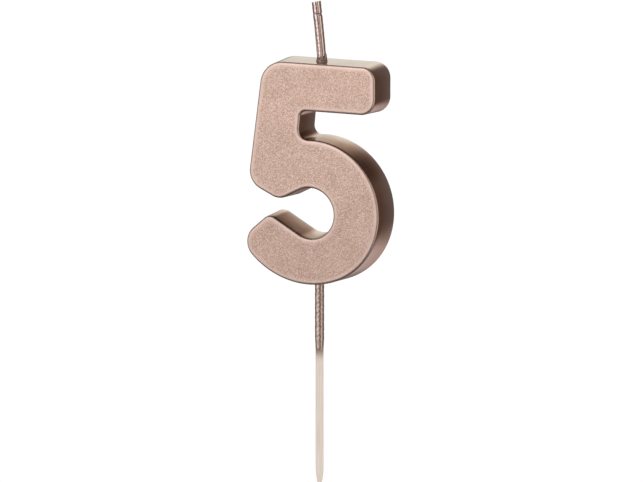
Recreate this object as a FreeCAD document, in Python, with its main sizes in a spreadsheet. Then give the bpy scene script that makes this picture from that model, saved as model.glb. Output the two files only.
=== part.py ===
"""Number birthday candle, a "5" on a wooden pick.

The candle is a cast paraffin numeral under a thin metallic lacquer, with a
three-ply cotton wick set in its top bar and a bamboo pick set in its bowl.

Frame: millimetres, +Z up, the numeral's front face looks along -Y and its
reading direction runs along +X. The origin is on the pick's axis at the lower
end of its lacquer, which is the level of the cake's surface.
"""

import FreeCAD, Part
import math
import os
import Sketcher

from FreeCAD import Placement, Rotation, Vector

# Driving dimensions, in millimetres and degrees.
DIMENSIONS = {
    # Wax numeral: the outline of the cast core, before its corners are rounded.
    "numeral_height": 68.9,
    "numeral_depth": 10.55,
    "bar_height": 15.3,
    "bar_right": 21.3,
    "stem_left": 17.05,
    "stem_right": 3.7,
    "stem_back_lean": 7.7,
    "stem_front_lean": 5.5,
    "bowl_radius": 22.55,
    "bowl_centre_x": 0.1,
    "base_extra_radius": 4.8,
    "base_shift": 1.7,
    "counter_radius": 7.5,
    "counter_shift_x": 0.85,
    "counter_shift_z": 0.4,
    "heel_height": 13.0,
    "terminal_slope": 41.0,
    "lip_slope": 29.2,
    "toe_x": 11.3,
    "toe_slope": 27.0,
    "sole_slope": 24.8,
    # Radii of the outline's corners, and of the core's front and back edges.
    "round_top_left": 7.95,
    "round_top_right": 4.55,
    "round_bar_end": 5.25,
    "round_notch_top": 1.75,
    "round_notch_bottom": 2.75,
    "round_heel": 6.1,
    "round_lip": 3.5,
    "round_toe": 5.7,
    "round_knee": 6.35,
    "round_front": 0.65,
    "round_back": 0.35,
    # Slope of the walls, which lets the front of the casting leave its mould.
    "mould_draft": 2.7,
    # Metallic lacquer over the whole casting.
    "skin": 0.15,
    # Wick: three twisted plies, coated above the numeral and sealed below it.
    "wick_x": 0.7,
    "wick_lean": 6.0,
    "wick_exposed": 18.3,
    "wick_sunk": 12.0,
    "ply_radius": 0.525,
    "ply_gap": 0.04,
    "ply_pitch": 36.0,
    "coat_thickness": 0.25,
    "coat_gap": 0.03,
    "cut_end_bare": 0.5,
    "seal_thickness": 0.3,
    "seal_slug": 0.3,
    "collar_height": 0.9,
    "collar_spread": 0.35,
    "bend_gap": 0.35,
    # Pick: bamboo rod, lacquered between the numeral and the cake.
    "pick_radius": 1.25,
    "pick_top_radius": 1.15,
    "pick_neck": 20.7,
    "pick_sunk": 9.5,
    "pick_bare": 36.5,
    "pick_taper": 6.7,
    "pick_tip_radius": 0.3,
    "pick_skin": 0.17,
    "glue_gap": 0.2,
    "glue_slug": 0.8,
    # Length by which a tool shape runs past the face that trims it.
    "overrun": 1.5,
}

doc = FreeCAD.newDocument("number_candle")


def write_sheet():
    """Write one named cell for each driving dimension."""
    sheet = doc.addObject("Spreadsheet::Sheet", "Sizes")
    for row, (name, value) in enumerate(DIMENSIONS.items(), start=1):
        sheet.set(f"A{row}", name)
        sheet.set(f"B{row}", str(value))
        sheet.setAlias(f"B{row}", name)
    doc.recompute()
    return sheet


sizes = write_sheet()


def bind(obj, **expressions):
    """Bind properties of an object to expressions on the sheet's names."""
    for path, text in expressions.items():
        obj.setExpression(path.replace("__", "."), text)
    return obj


def primitive(kind, name, **expressions):
    """Add a Part primitive whose sizes and place follow the sheet."""
    return bind(doc.addObject(f"Part::{kind}", name), **expressions)


def cut(name, base, tool):
    """Subtract one object from another."""
    result = doc.addObject("Part::Cut", name)
    result.Base = base
    result.Tool = tool
    return result


def fuse(name, *shapes):
    """Join objects into one solid."""
    result = doc.addObject("Part::MultiFuse", name)
    result.Shapes = list(shapes)
    return result


def common(name, base, tool):
    """Keep what two objects share."""
    result = doc.addObject("Part::Common", name)
    result.Base = base
    result.Tool = tool
    return result


# ---------------------------------------------------------------- numeral

def polar(centre, radius, degrees):
    """Point of the outline's plane at an angle round a centre."""
    angle = math.radians(degrees)
    return centre + Vector(math.cos(angle), math.sin(angle), 0) * radius


def arc(centre, radius, start, end):
    """Arc drawn counter-clockwise between two angles in degrees."""
    circle = Part.Circle(centre, Vector(0, 0, 1), radius)
    return Part.ArcOfCircle(circle, math.radians(start), math.radians(end))


def draw_outline(sketch):
    """Draw the numeral's outline with sharp corners and bind it to the sheet.

    The sketch's x is the model's X and its y is the height above the lowest
    point of the bowl. Returns the corners to round, each as the name of its
    radius and the sketch point (geometry index, point index) where it lies.
    """
    size = {name: sizes.get(name) for name in DIMENSIONS}
    base_radius = size["bowl_radius"] + size["base_extra_radius"]
    base_centre = Vector(size["bowl_centre_x"] - size["base_shift"], base_radius, 0)
    drop = math.sqrt(size["base_extra_radius"] ** 2 - size["base_shift"] ** 2)
    bowl_centre = Vector(size["bowl_centre_x"], base_radius - drop, 0)
    shift = Vector(size["counter_shift_x"], size["counter_shift_z"], 0)
    counter_centre = bowl_centre - shift
    join = math.degrees(math.atan2(-drop, size["base_shift"]))
    heel = math.degrees(math.asin((size["heel_height"] - base_radius) / base_radius))
    underside = size["numeral_height"] - size["bar_height"]
    stem_drop = size["numeral_height"] * 0.46

    top_left = Vector(-size["stem_left"], size["numeral_height"], 0)
    top_right = Vector(size["bar_right"], size["numeral_height"], 0)
    bar_end = Vector(size["bar_right"], underside, 0)
    notch_top = Vector(-size["stem_right"], underside, 0)
    shoulder = polar(bowl_centre, size["bowl_radius"], 100)
    heel_point = polar(base_centre, base_radius, -180 - heel)
    counter_low = polar(counter_centre, size["counter_radius"], -90 - size["lip_slope"])
    counter_high = polar(counter_centre, size["counter_radius"], 90 + size["toe_slope"])
    lip = counter_low + Vector(-6, 6 * math.tan(math.radians(size["lip_slope"])), 0)
    toe = Vector(-size["toe_x"], counter_high.y - 3, 0)
    knee = top_left + Vector(-stem_drop * math.tan(math.radians(size["stem_back_lean"])),
                             -stem_drop, 0)

    line = Part.LineSegment
    top, end, under, front, bowl, base, terminal, lip_line, counter, toe_line, sole, back = (
        sketch.addGeometry([
            line(top_left, top_right),
            line(top_right, bar_end),
            line(bar_end, notch_top),
            line(shoulder, notch_top),
            arc(bowl_centre, size["bowl_radius"], join, 100),
            arc(base_centre, base_radius, -180 - heel, join),
            line(heel_point, lip),
            line(counter_low, lip),
            arc(counter_centre, size["counter_radius"],
                -90 - size["lip_slope"], 90 + size["toe_slope"]),
            line(toe, counter_high),
            line(toe, knee),
            line(knee, top_left),
        ]))

    origin = (-1, 1)
    start, finish, centre = 1, 2, 3
    rule = Sketcher.Constraint
    for kind, first, first_point, second, second_point in (
            ("Coincident", top, finish, end, start),
            ("Coincident", end, finish, under, start),
            ("Coincident", under, finish, front, finish),
            ("Coincident", front, start, bowl, finish),
            ("Tangent", bowl, start, base, finish),
            ("Coincident", base, start, terminal, start),
            ("Coincident", terminal, finish, lip_line, finish),
            ("Tangent", lip_line, start, counter, start),
            ("Tangent", counter, finish, toe_line, finish),
            ("Coincident", toe_line, start, sole, start),
            ("Coincident", sole, finish, back, start),
            ("Coincident", back, finish, top, start)):
        sketch.addConstraint(rule(kind, first, first_point, second, second_point))
    sketch.addConstraint(rule("Horizontal", top))
    sketch.addConstraint(rule("Vertical", end))
    sketch.addConstraint(rule("Horizontal", under))

    measured = (
        ("DistanceY", origin, (top, start), "numeral_height"),
        ("DistanceY", (end, finish), (end, start), "bar_height"),
        ("DistanceX", origin, (end, start), "bar_right"),
        ("DistanceX", (top, start), origin, "stem_left"),
        ("DistanceX", (under, finish), origin, "stem_right"),
        ("DistanceX", origin, (bowl, centre), "bowl_centre_x"),
        ("DistanceX", (base, centre), (bowl, centre), "base_shift"),
        ("DistanceX", (counter, centre), (bowl, centre), "counter_shift_x"),
        ("DistanceY", (counter, centre), (bowl, centre), "counter_shift_z"),
        ("DistanceY", origin, (base, start), "heel_height"),
        ("DistanceX", (toe_line, start), origin, "toe_x"),
    )
    for kind, low, high, name in measured:
        index = sketch.addConstraint(rule(kind, *low, *high, size[name]))
        sketch.setExpression(f"Constraints[{index}]", f"Sizes.{name}")

    base_rule = sketch.addConstraint(rule("DistanceY", *origin, base, centre, base_radius))
    sketch.setExpression(f"Constraints[{base_rule}]",
                         "Sizes.bowl_radius + Sizes.base_extra_radius")
    for geometry, radius, text in (
            (bowl, size["bowl_radius"], "Sizes.bowl_radius"),
            (base, base_radius, "Sizes.bowl_radius + Sizes.base_extra_radius"),
            (counter, size["counter_radius"], "Sizes.counter_radius")):
        index = sketch.addConstraint(rule("Radius", geometry, radius))
        sketch.setExpression(f"Constraints[{index}]", text)
    for geometry, degrees, text in (
            (back, 90 - size["stem_back_lean"], "90 - Sizes.stem_back_lean"),
            (front, 90 - size["stem_front_lean"], "90 - Sizes.stem_front_lean"),
            (terminal, size["terminal_slope"], "Sizes.terminal_slope"),
            (lip_line, 180 - size["lip_slope"], "180 - Sizes.lip_slope"),
            (toe_line, size["toe_slope"], "Sizes.toe_slope"),
            (sole, 180 - size["sole_slope"], "180 - Sizes.sole_slope")):
        index = sketch.addConstraint(rule("Angle", geometry, math.radians(degrees)))
        sketch.setExpression(f"Constraints[{index}]", f"({text}) * 1 deg")

    return (
        ("round_top_left", top, start),
        ("round_top_right", top, finish),
        ("round_bar_end", end, finish),
        ("round_notch_top", under, finish),
        ("round_notch_bottom", front, start),
        ("round_heel", base, start),
        ("round_lip", terminal, finish),
        ("round_toe", toe_line, start),
        ("round_knee", sole, finish),
    )


def y_edge_at(shape, point):
    """Name of the straight edge along Y that passes nearest to a point."""
    names = {}
    for number, edge in enumerate(shape.Edges, start=1):
        ends = [vertex.Point for vertex in edge.Vertexes]
        if len(ends) == 2 and abs(ends[0].y + ends[1].y) < 1e-6 and abs(ends[0].y) > 1e-6:
            gap = math.hypot(ends[0].x - point.x, ends[0].z - point.y)
            names[gap] = f"Edge{number}"
    return names[min(names)]


def names_at(elements, kind, depth):
    """Names of the faces or edges whose middle lies at a depth along Y."""
    return [f"{kind}{number}" for number, element in enumerate(elements, start=1)
            if abs(element.CenterOfMass.y - depth) < 1e-5]


def cast_numeral():
    """Wax casting without its holes: padded outline, rounded corners, sloped walls."""
    body = doc.addObject("PartDesign::Body", "casting")
    sketch = body.newObject("Sketcher::SketchObject", "outline")
    plane = next(item for item in body.Origin.OriginFeatures if item.Role == "XZ_Plane")
    sketch.AttachmentSupport = [(plane, "")]
    sketch.MapMode = "FlatFace"
    corners = draw_outline(sketch)
    pad = body.newObject("PartDesign::Pad", "thickness")
    pad.Profile = sketch
    pad.SideType = "Symmetric"
    bind(pad, Length="Sizes.numeral_depth")
    doc.recompute()

    solid = pad
    for radius, geometry, point in corners:
        edge = y_edge_at(solid.Shape, sketch.getPoint(geometry, point))
        corner = body.newObject("PartDesign::Fillet", radius)
        corner.Base = (solid, [edge])
        bind(corner, Radius=f"Sizes.{radius}")
        doc.recompute()
        solid = corner

    reach = sizes.get("numeral_depth") / 2
    draft = body.newObject("PartDesign::Draft", "mould_draft")
    draft.Base = (solid, names_at(solid.Shape.Faces, "Face", 0))
    draft.NeutralPlane = (solid, names_at(solid.Shape.Faces, "Face", reach))
    draft.Reversed = True
    bind(draft, Angle="Sizes.mould_draft")
    # The face names resolve only on the feature's second pass.
    doc.recompute()
    draft.touch()
    doc.recompute()
    solid = draft

    for radius, side in (("round_front", -reach), ("round_back", reach)):
        rim = body.newObject("PartDesign::Fillet", radius)
        rim.Base = (solid, names_at(solid.Shape.Edges, "Edge", side))
        bind(rim, Radius=f"Sizes.{radius}")
        doc.recompute()
        solid = rim
    body.Tip = solid
    bind(body, Placement__Base__z="Sizes.pick_neck + Sizes.skin")
    return body


casting = cast_numeral()

lacquered = doc.addObject("Part::Offset", "lacquered_outside")
lacquered.Source = casting
lacquered.Join = "Arc"
bind(lacquered, Value="Sizes.skin")


# ------------------------------------------------------------------- wick

# The wick's own axis starts where it leaves the lacquered top and leans to -X.
# The mould's draft makes that top lower at mid-depth than at the back.
TOP = ("Sizes.pick_neck + 2 * Sizes.skin + Sizes.numeral_height"
       " - Sizes.numeral_depth / 2 * tan(Sizes.mould_draft * 1 deg)")
PLY_CENTRE = "(2 * Sizes.ply_radius + Sizes.ply_gap) / sqrt(3)"
CORD_RADIUS = f"({PLY_CENTRE} + Sizes.ply_radius + Sizes.coat_gap)"
COAT_RADIUS = f"({CORD_RADIUS} + Sizes.coat_thickness)"
HOLE_RADIUS = f"({CORD_RADIUS} + Sizes.seal_thickness)"
# A ply's slanted end reaches below its path by less than its own radius.
PLY_END = "-Sizes.wick_sunk - Sizes.ply_radius"
HINGE_HEIGHT = f"(Sizes.collar_height + Sizes.bend_gap + {COAT_RADIUS})"


def along_wick(obj, height, turn="0"):
    """Put an object on the leaning wick's axis, a height above the numeral."""
    lean = "Sizes.wick_lean * 1 deg"
    return bind(
        obj,
        Placement__Rotation="rotation(vector(0; 1; 0); -Sizes.wick_lean) * "
                            f"rotation(vector(0; 0; 1); {turn})",
        Placement__Base__x=f"Sizes.wick_x - ({height}) * sin({lean})",
        Placement__Base__z=f"{TOP} + ({height}) * cos({lean})",
    )


def wick_rod(name, radius, low, high):
    """Cylinder on the wick's axis between two heights above the numeral."""
    rod = primitive("Cylinder", name, Radius=radius, Height=f"({high}) - ({low})")
    return along_wick(rod, low)


def twist_ply(number):
    """One of the three plies: a round strand swept along a helix."""
    length = "Sizes.wick_sunk + Sizes.wick_exposed"
    turn = f"{120 * number}"
    path = primitive("Helix", f"ply_path_{number}", Radius=PLY_CENTRE,
                     Pitch="Sizes.ply_pitch", Height=length)
    section = primitive("Circle", f"ply_section_{number}", Radius="Sizes.ply_radius")
    bind(section, Placement__Base__x=PLY_CENTRE,
         Placement__Rotation="rotation(vector(1; 0; 0); "
                             f"-atan(2 * pi * {PLY_CENTRE} / Sizes.ply_pitch))")
    ply = doc.addObject("Part::Sweep", f"wick_strand_{number + 1}")
    ply.Sections = [section]
    ply.Spine = (path, ["Edge1"])
    ply.Solid = True
    ply.Frenet = True
    return along_wick(ply, "-Sizes.wick_sunk", turn)


wick_hole = wick_rod("wick_hole", HOLE_RADIUS,
                     f"{PLY_END} - Sizes.seal_slug", "Sizes.overrun")
cord_space = wick_rod("cord_space", CORD_RADIUS,
                      PLY_END, "Sizes.wick_exposed + Sizes.overrun")
strands = [twist_ply(number) for number in range(3)]


def seal_wick():
    """Wax drawn into the wick's hole, with a small collar round its foot."""
    cone = primitive("Cone", "collar_cone", Radius1=f"{HOLE_RADIUS} + Sizes.collar_spread",
                     Radius2=HOLE_RADIUS, Height="Sizes.collar_height + 2 * Sizes.skin",
                     Placement__Base__x="Sizes.wick_x",
                     Placement__Base__z=f"{TOP} - 2 * Sizes.skin")
    collar = cut("collar", cone, lacquered)
    plug = common("wick_plug", wick_hole, lacquered)
    return cut("wick_seal", fuse("plug_and_collar", plug, collar), cord_space)


def coat_wick():
    """Waxed and lacquered sleeve over the exposed wick, rounded where it bends."""
    sleeve = wick_rod("sleeve", COAT_RADIUS, HINGE_HEIGHT,
                      "Sizes.wick_exposed - Sizes.cut_end_bare")
    root = along_wick(primitive("Sphere", "sleeve_root", Radius=COAT_RADIUS), HINGE_HEIGHT)
    return cut("wick_coat", fuse("sleeve_and_root", sleeve, root), cord_space)


# ------------------------------------------------------------------- pick

def upright_rod(name, radius, low, high):
    """Cylinder on the pick's axis between two heights."""
    return primitive("Cylinder", name, Radius=radius, Height=f"({high}) - ({low})",
                     Placement__Base__z=low)


def turn_pick():
    """Bamboo rod: a round shank, a point, and a top that narrows into the wax."""
    shank = upright_rod("shank", "Sizes.pick_radius", "-Sizes.pick_bare", "0")
    seat = primitive("Cone", "seat", Radius1="Sizes.pick_radius",
                     Radius2="Sizes.pick_top_radius",
                     Height="Sizes.pick_neck + Sizes.pick_sunk")
    point = primitive("Cone", "point", Radius1="Sizes.pick_tip_radius",
                      Radius2="Sizes.pick_radius", Height="Sizes.pick_taper",
                      Placement__Base__z="-Sizes.pick_bare - Sizes.pick_taper")
    return fuse("pick", seat, shank, point)


pick = turn_pick()
socket = upright_rod("socket", "Sizes.pick_radius + Sizes.glue_gap",
                     "Sizes.pick_neck - Sizes.overrun",
                     "Sizes.pick_neck + Sizes.pick_sunk + Sizes.glue_slug")


def glue_pick():
    """Wax glue round and above the pick in its socket."""
    filling = common("socket_filling", socket, lacquered)
    return cut("pick_glue", filling, pick)


def lacquer_pick():
    """Lacquer on the pick from the cake's surface up to the numeral."""
    film = upright_rod("film", "Sizes.pick_radius + Sizes.pick_skin", "0",
                       "Sizes.pick_neck + Sizes.overrun")
    return cut("pick_lacquer", film, fuse("film_limits", pick, lacquered))


holes = fuse("holes", wick_hole, socket)
nodes = [
    cut("wax_numeral", casting, holes),
    cut("numeral_lacquer", lacquered, fuse("casting_and_holes", casting, holes)),
    *strands,
    seal_wick(),
    coat_wick(),
    pick,
    glue_pick(),
    lacquer_pick(),
]


def check_and_write():
    """Stop on any failed object, then write one STEP file for each node."""
    doc.recompute()
    for obj in doc.Objects:
        if "Invalid" in obj.State or "Error" in obj.State:
            raise RuntimeError(f"{obj.Name} failed: {obj.State}")
    os.makedirs("parts", exist_ok=True)
    for node in nodes:
        node.Label = node.Name
        if node.Shape.isNull() or not node.Shape.isValid():
            raise RuntimeError(f"{node.Name} has no valid shape")
    for node in nodes:
        node.Shape.exportStep(f"parts/{node.Label}.step")
        print(f"{node.Label}: {len(node.Shape.Solids)} solid, {node.Shape.Volume:.2f} mm3")


check_and_write()
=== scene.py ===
"""Looks of a number birthday candle: a lacquered numeral, a cotton wick and a bamboo pick.

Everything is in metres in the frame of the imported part: +Z up, the front face
towards -Y, the origin on the pick's axis at the level of the cake.
"""

import logging
import math
from dataclasses import dataclass
from enum import Enum
from typing import Any

import bpy
import numpy as np
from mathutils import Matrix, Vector
from mathutils.geometry import delaunay_2d_cdt

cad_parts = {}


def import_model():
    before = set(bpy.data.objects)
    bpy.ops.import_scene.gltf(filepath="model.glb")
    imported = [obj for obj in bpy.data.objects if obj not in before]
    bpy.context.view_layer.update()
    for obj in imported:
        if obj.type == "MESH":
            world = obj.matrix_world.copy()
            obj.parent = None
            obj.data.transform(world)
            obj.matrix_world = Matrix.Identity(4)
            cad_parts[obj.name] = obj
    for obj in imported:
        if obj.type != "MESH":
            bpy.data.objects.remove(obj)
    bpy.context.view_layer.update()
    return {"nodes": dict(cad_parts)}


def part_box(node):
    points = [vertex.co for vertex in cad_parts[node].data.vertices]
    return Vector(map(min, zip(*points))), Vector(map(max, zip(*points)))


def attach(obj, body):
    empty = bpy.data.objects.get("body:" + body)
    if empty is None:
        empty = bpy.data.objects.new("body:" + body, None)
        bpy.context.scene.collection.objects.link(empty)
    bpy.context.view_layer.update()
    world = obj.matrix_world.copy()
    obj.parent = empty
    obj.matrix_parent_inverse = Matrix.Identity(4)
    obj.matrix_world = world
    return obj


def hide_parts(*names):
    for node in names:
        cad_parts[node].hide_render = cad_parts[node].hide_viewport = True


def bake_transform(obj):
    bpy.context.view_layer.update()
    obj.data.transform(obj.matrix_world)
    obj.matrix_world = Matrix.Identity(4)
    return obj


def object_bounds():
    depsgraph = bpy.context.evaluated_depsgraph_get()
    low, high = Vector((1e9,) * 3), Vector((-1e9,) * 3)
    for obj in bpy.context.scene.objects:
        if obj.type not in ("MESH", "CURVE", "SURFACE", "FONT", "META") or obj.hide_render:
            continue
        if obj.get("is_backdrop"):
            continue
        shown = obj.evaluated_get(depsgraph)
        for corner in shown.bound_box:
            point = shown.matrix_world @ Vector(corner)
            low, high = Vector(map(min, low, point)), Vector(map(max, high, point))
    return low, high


LOG = logging.getLogger("number_candle")
MM = 0.001
STEM_FRONT = 3


class Body(Enum):
    """The two bodies of the part that pieces ride on."""

    CANDLE = "candle"
    WICK = "wick"


class Turn(Enum):
    """Which way a stretch of the outline bends as it is followed clockwise."""

    RIGHT = 1
    LEFT = -1


# --------------------------------------------------------------- outline

@dataclass(frozen=True)
class Straight:
    """A straight stretch of the outline: a point on it and its heading in degrees."""

    point: np.ndarray
    heading: float

    def direction(self) -> np.ndarray:
        """Unit vector along the heading."""
        angle = math.radians(self.heading)
        return np.array([math.cos(angle), math.sin(angle)])

    def shifted(self, gap: float) -> "Straight":
        """Parallel line that lies a gap to the right of this one."""
        along = self.direction()
        return Straight(self.point + gap * np.array([along[1], -along[0]]), self.heading)

    def foot(self, point: np.ndarray) -> np.ndarray:
        """Nearest point of the line to a given point."""
        along = self.direction()
        return self.point + along * np.dot(point - self.point, along)

    def meet(self, other: "Straight | Round", near: np.ndarray) -> np.ndarray:
        """Point where this line crosses another stretch.

        Args:
            other: The line or circle that it crosses.
            near: A point beside the wanted crossing.

        Returns:
            The crossing that lies nearest to that point.
        """
        along = self.direction()
        if isinstance(other, Straight):
            sides = np.array([along, -other.direction()]).T
            step = np.linalg.solve(sides, other.point - self.point)[0]
            return self.point + step * along
        offset = self.point - other.centre
        middle = -np.dot(offset, along)
        reach = math.sqrt(middle ** 2 - np.dot(offset, offset) + other.radius ** 2)
        both = [self.point + step * along for step in (middle - reach, middle + reach)]
        return min(both, key=lambda spot: np.linalg.norm(spot - near))


@dataclass(frozen=True)
class Round:
    """A round stretch of the outline: its circle and which way it bends."""

    centre: np.ndarray
    radius: float
    turn: Turn

    def shifted(self, gap: float) -> "Round":
        """Concentric arc that lies a gap to the right of this one."""
        return Round(self.centre, self.radius - self.turn.value * gap, self.turn)

    def foot(self, point: np.ndarray) -> np.ndarray:
        """Nearest point of the circle to a given point."""
        away = point - self.centre
        return self.centre + away / np.linalg.norm(away) * self.radius

    def meet(self, other: Straight, near: np.ndarray) -> np.ndarray:
        """Crossing with a line, nearest to a given point."""
        return other.meet(self, near)

    def at(self, degrees: float) -> np.ndarray:
        """Point of the circle at an angle."""
        angle = math.radians(degrees)
        return self.centre + self.radius * np.array([math.cos(angle), math.sin(angle)])


@dataclass(frozen=True)
class NumeralOutline:
    """The numeral's outline under its lacquer, in millimetres and degrees.

    Heights are measured from the lowest point of the bowl, and places along the
    reading direction from the pick's axis. The sizes are those of the cast core.
    """

    height: float = 68.9
    bar_height: float = 15.3
    bar_right: float = 21.3
    stem_left: float = 17.05
    stem_right: float = 3.7
    back_lean: float = 7.7
    front_lean: float = 5.5
    bowl_radius: float = 22.55
    bowl_x: float = 0.1
    base_extra: float = 4.8
    base_shift: float = 1.7
    counter_radius: float = 7.5
    counter_shift_x: float = 0.85
    counter_shift_z: float = 0.4
    heel_height: float = 13.0
    terminal_slope: float = 41.0
    lip_slope: float = 29.2
    toe_x: float = 11.3
    toe_slope: float = 27.0
    sole_slope: float = 24.8
    round_top_left: float = 7.95
    round_top_right: float = 4.55
    round_bar_end: float = 5.25
    round_notch_top: float = 1.75
    round_notch_bottom: float = 2.75
    round_heel: float = 6.1
    round_lip: float = 3.5
    round_toe: float = 5.7
    round_knee: float = 6.35

    def stretches(self) -> list[tuple[Straight | Round, float, Turn]]:
        """Stretches of the outline, clockwise from the top of the bar.

        Returns:
            For each stretch its line or circle, the radius that rounds the corner
            at its end, and which way that corner turns. A radius of zero marks
            two stretches that already touch smoothly.
        """
        base_radius = self.bowl_radius + self.base_extra
        base_centre = np.array([self.bowl_x - self.base_shift, base_radius])
        drop = math.sqrt(self.base_extra ** 2 - self.base_shift ** 2)
        bowl = Round(np.array([self.bowl_x, base_radius - drop]), self.bowl_radius, Turn.RIGHT)
        base = Round(base_centre, base_radius, Turn.RIGHT)
        shift = np.array([self.counter_shift_x, self.counter_shift_z])
        counter = Round(bowl.centre - shift, self.counter_radius, Turn.LEFT)
        heel_drop = base_radius - self.heel_height
        heel = base_centre - np.array([math.sqrt(base_radius ** 2 - heel_drop ** 2), heel_drop])
        underside = self.height - self.bar_height
        toe_line = Straight(counter.at(90 + self.toe_slope), 180 + self.toe_slope)
        toe = toe_line.meet(Straight(np.array([-self.toe_x, 0.0]), 90), toe_line.point)
        convex, concave = Turn.RIGHT, Turn.LEFT
        return [
            (Straight(np.array([0.0, self.height]), 0), self.round_top_right, convex),
            (Straight(np.array([self.bar_right, 0.0]), -90), self.round_bar_end, convex),
            (Straight(np.array([0.0, underside]), 180), self.round_notch_top, concave),
            (Straight(np.array([-self.stem_right, underside]), -90 - self.front_lean),
             self.round_notch_bottom, concave),
            (bowl, 0.0, convex),
            (base, self.round_heel, convex),
            (Straight(heel, self.terminal_slope), self.round_lip, convex),
            (Straight(counter.at(-90 - self.lip_slope), -self.lip_slope), 0.0, convex),
            (counter, 0.0, convex),
            (toe_line, self.round_toe, convex),
            (Straight(toe, 180 - self.sole_slope), self.round_knee, convex),
            (Straight(np.array([-self.stem_left, self.height]), 90 - self.back_lean),
             self.round_top_left, convex),
        ]

    def corner_hint(self, index: int) -> np.ndarray:
        """A point near the sharp corner that ends a stretch, to choose its crossing."""
        if index == STEM_FRONT:
            return np.array([-self.stem_right, self.bowl_radius * 2])
        return np.array([-self.bowl_radius, self.heel_height])

    def trace(self, spacing: float) -> tuple[np.ndarray, np.ndarray]:
        """Follow the outline clockwise in even steps.

        Each corner is rounded by a circle whose centre is where the two stretches,
        both shifted inwards (or outwards at a concave corner) by its radius, cross.
        Straight runs then join the ends of the arcs.

        Args:
            spacing: Distance between points, in millimetres.

        Returns:
            Points and outward unit normals, each an array of (x, z) rows.
        """
        stretches = self.stretches()
        joints: list[tuple[np.ndarray, np.ndarray, Round | None]] = []
        for index, (stretch, radius, turn) in enumerate(stretches):
            following = stretches[(index + 1) % len(stretches)][0]
            if radius == 0:
                joints.append((touch(stretch, following),) * 2 + (None,))
                continue
            gap = turn.value * radius
            centre = stretch.shifted(gap).meet(following.shifted(gap), self.corner_hint(index))
            joints.append((stretch.foot(centre), following.foot(centre),
                           Round(centre, radius, turn)))
        points, normals = [], []
        for index, (stretch, _, _) in enumerate(stretches):
            start = joints[index - 1][1]
            end, after, corner = joints[index]
            for curve, low, high in ((stretch, start, end), (corner, end, after)):
                if curve is not None:
                    spots, outward = walk(curve, low, high, spacing)
                    points.append(spots)
                    normals.append(outward)
        return np.vstack(points), np.vstack(normals)


def touch(first: Straight | Round, second: Straight | Round) -> np.ndarray:
    """Point where two stretches that run smoothly into each other touch.

    A line's own point lies there; two circles touch on the line of their centres.
    """
    if isinstance(first, Straight):
        return second.foot(first.point)
    if isinstance(second, Straight):
        return first.foot(second.point)
    return first.foot(2 * first.centre - second.centre)


def walk(curve: Straight | Round, start: np.ndarray, end: np.ndarray,
         spacing: float) -> tuple[np.ndarray, np.ndarray]:
    """Even steps along one stretch, without its last point.

    A line is a straight blend of its ends; an arc turns its radius from the first
    angle to the last, the way that the stretch bends.

    Args:
        curve: The line or circle.
        start: First point.
        end: Last point.
        spacing: Largest distance between two points.

    Returns:
        Points and outward unit normals; outward is to the left of travel.
    """
    if isinstance(curve, Straight):
        count = max(1, math.ceil(np.linalg.norm(end - start) / spacing))
        blend = np.arange(count)[:, None] / count
        along = curve.direction()
        normal = np.array([-along[1], along[0]])
        return start + (end - start) * blend, np.repeat(normal[None], count, axis=0)
    first, last = (math.atan2(*(spot - curve.centre)[::-1]) for spot in (start, end))
    sweep = (last - first) * curve.turn.value % (-2 * math.pi) * curve.turn.value
    count = max(1, math.ceil(abs(sweep) * curve.radius / spacing))
    angles = first + sweep * np.arange(count) / count
    radial = np.column_stack([np.cos(angles), np.sin(angles)])
    return curve.centre + curve.radius * radial, radial * curve.turn.value


# ---------------------------------------------------------------- meshes

def new_piece(name: str, vertices: np.ndarray, faces: list | np.ndarray) -> bpy.types.Object:
    """Make a smooth-shaded mesh object that sits at the origin.

    Args:
        name: The piece's name.
        vertices: Corners in metres, one (x, y, z) row each.
        faces: Vertex numbers of each face, counter-clockwise seen from outside.

    Returns:
        The new object, linked to the scene.
    """
    mesh = bpy.data.meshes.new(name)
    mesh.from_pydata(vertices.tolist(), [], [list(map(int, face)) for face in faces])
    mesh.validate()
    mesh.shade_smooth()
    piece = bpy.data.objects.new(name, mesh)
    bpy.context.scene.collection.objects.link(piece)
    return piece


def grid_faces(rows: int, columns: int, wrap_rows: bool = False,
               wrap_columns: bool = True) -> np.ndarray:
    """Quads of a two-parameter grid whose vertices are stored row by row.

    Args:
        rows: Number of rows.
        columns: Number of vertices in each row.
        wrap_rows: Whether the last row joins the first.
        wrap_columns: Whether each row closes on itself.

    Returns:
        One row of four vertex numbers for each quad.
    """
    row = np.arange(rows if wrap_rows else rows - 1)
    column = np.arange(columns if wrap_columns else columns - 1)
    row, column = (axis.ravel() for axis in np.meshgrid(row, column, indexing="ij"))
    after, beside = (row + 1) % rows, (column + 1) % columns
    return np.column_stack([row * columns + column, row * columns + beside,
                            after * columns + beside, after * columns + column])


def set_attributes(piece: bpy.types.Object, **layers: np.ndarray) -> None:
    """Store named layers of one number for each vertex, for a material to read."""
    for name, values in layers.items():
        layer = piece.data.attributes.new(name, "FLOAT", "POINT")
        layer.data.foreach_set("value", values.astype(np.float32))


def smooth_step(values: np.ndarray, low: float, high: float) -> np.ndarray:
    """Ease from 0 below the low value to 1 above the high one."""
    share = np.clip((values - low) / (high - low), 0, 1)
    return share * share * (3 - 2 * share)


@dataclass(frozen=True)
class Wave:
    """One wave on a round surface.

    It has a size, a number of turns round the axis, a climb in radians for each
    millimetre along it, and a phase in radians.
    """

    size: float
    turns: int
    climb: float = 0.0
    phase: float = 0.0


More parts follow.
